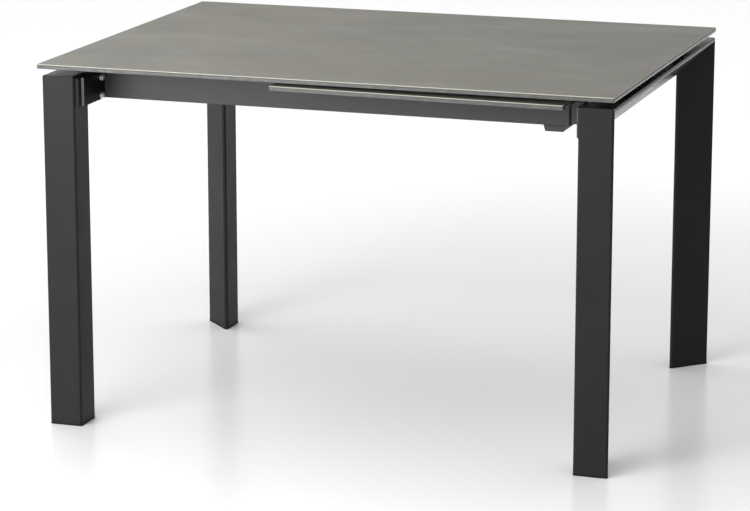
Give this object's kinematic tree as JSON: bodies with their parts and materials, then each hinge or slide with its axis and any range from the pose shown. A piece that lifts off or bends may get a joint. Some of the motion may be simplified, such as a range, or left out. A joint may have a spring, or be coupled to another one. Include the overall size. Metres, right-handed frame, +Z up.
{
  "type": "extendable dining table",
  "caption": "Rectangular dining table with a stone top, triangular-tube end frames and telescoping rails that carry a leaf stored under the top.",
  "frame": {"origin": "on the floor, under the middle of the closed top", "axes": "+X along the length towards the end that pulls out, -Y the front long side, +Z up"},
  "size_m": [1.2, 0.9, 0.755],
  "materials": {
    "frame_paint": "matt graphite powder coat",
    "rail_paint": "matt graphite powder coat",
    "stoneware": "matt grey porcelain stoneware with faint clouding",
    "dark_glass": "back-painted dark tempered glass, ground edge",
    "black_plastic": "moulded, fine texture",
    "black_rubber": "matt",
    "zinc_steel": "bright zinc plate",
    "dark_steel": "dark zinc plate"
  },
  "bodies": {
    "fixed_frame": {"bolt_left_front_lower": "zinc_steel", "bolt_left_front_upper": "zinc_steel", "bolt_left_rear_lower": "zinc_steel", "bolt_left_rear_upper": "zinc_steel", "cross_tie": "rail_paint", "end_beam_left": "frame_paint", "end_plate_left": "frame_paint", "foot_left_front": "black_plastic", "foot_left_rear": "black_plastic", "leg_left_front": "frame_paint", "leg_left_rear": "frame_paint", "main_top_ceramic": "stoneware", "main_top_glass": "dark_glass", "outer_rail_front": "rail_paint", "outer_rail_rear": "rail_paint", "rail_guide_front": "black_plastic", "rail_guide_rear": "black_plastic", "spacer_left": "black_plastic", "top_mount_inner_front": "frame_paint", "top_mount_inner_rear": "frame_paint", "top_mount_outer_front": "frame_paint", "top_mount_outer_rear": "frame_paint", "top_stiffener_front": "dark_steel", "top_stiffener_rear": "dark_steel"},
    "moving_frame": {"bolt_right_front_lower": "zinc_steel", "bolt_right_front_upper": "zinc_steel", "bolt_right_rear_lower": "zinc_steel", "bolt_right_rear_upper": "zinc_steel", "end_beam_right": "frame_paint", "end_plate_right": "frame_paint", "foot_right_front": "black_plastic", "foot_right_rear": "black_plastic", "inner_rail_front": "rail_paint", "inner_rail_rear": "rail_paint", "leg_right_front": "frame_paint", "leg_right_rear": "frame_paint", "pivot_bracket_far_front": "dark_steel", "pivot_bracket_far_rear": "dark_steel", "pivot_bracket_near_front": "dark_steel", "pivot_bracket_near_rear": "dark_steel", "pivot_pin_far_front": "zinc_steel", "pivot_pin_far_rear": "zinc_steel", "pivot_pin_near_front": "zinc_steel", "pivot_pin_near_rear": "zinc_steel", "rail_slider_front": "black_plastic", "rail_slider_rear": "black_plastic", "rest_pad_front": "black_rubber", "rest_pad_rear": "black_rubber", "spacer_right": "black_plastic"},
    "near_arms": {"leaf_rod_near": "zinc_steel", "swing_arm_near_front": "dark_steel", "swing_arm_near_rear": "dark_steel"},
    "far_arms": {"leaf_rod_far": "zinc_steel", "swing_arm_far_front": "dark_steel", "swing_arm_far_rear": "dark_steel"},
    "leaf": {"leaf_ceramic": "stoneware", "leaf_glass": "dark_glass", "leaf_rail_front": "dark_steel", "leaf_rail_rear": "dark_steel"}
  },
  "joints": [
    {"name": "frame_extension", "type": "slide", "parent": "fixed_frame", "child": "moving_frame", "axis": [1, 0, 0], "range_m": [0, 0.7]},
    {"name": "leaf_swing", "type": "hinge", "parent": "moving_frame", "child": "near_arms", "pos_m": [0.07337, 0, 0.70698], "axis": [0, 1, 0], "range_deg": [0, 3]},
    {"name": "far_arm_swing", "type": "hinge", "parent": "moving_frame", "child": "far_arms", "pos_m": [0.39337, 0, 0.70475], "axis": [0, 1, 0], "range_deg": [0, 3]},
    {"name": "leaf_level", "type": "hinge", "parent": "near_arms", "child": "leaf", "pos_m": [0.01984, 0, 0.71546], "axis": [0, 1, 0], "range_deg": [-3, 0]}
  ],
  "couplings": [
    {"joint": "far_arm_swing", "follows": "leaf_swing", "ratio": 1},
    {"joint": "leaf_level", "follows": "leaf_swing", "ratio": -1}
  ]
}
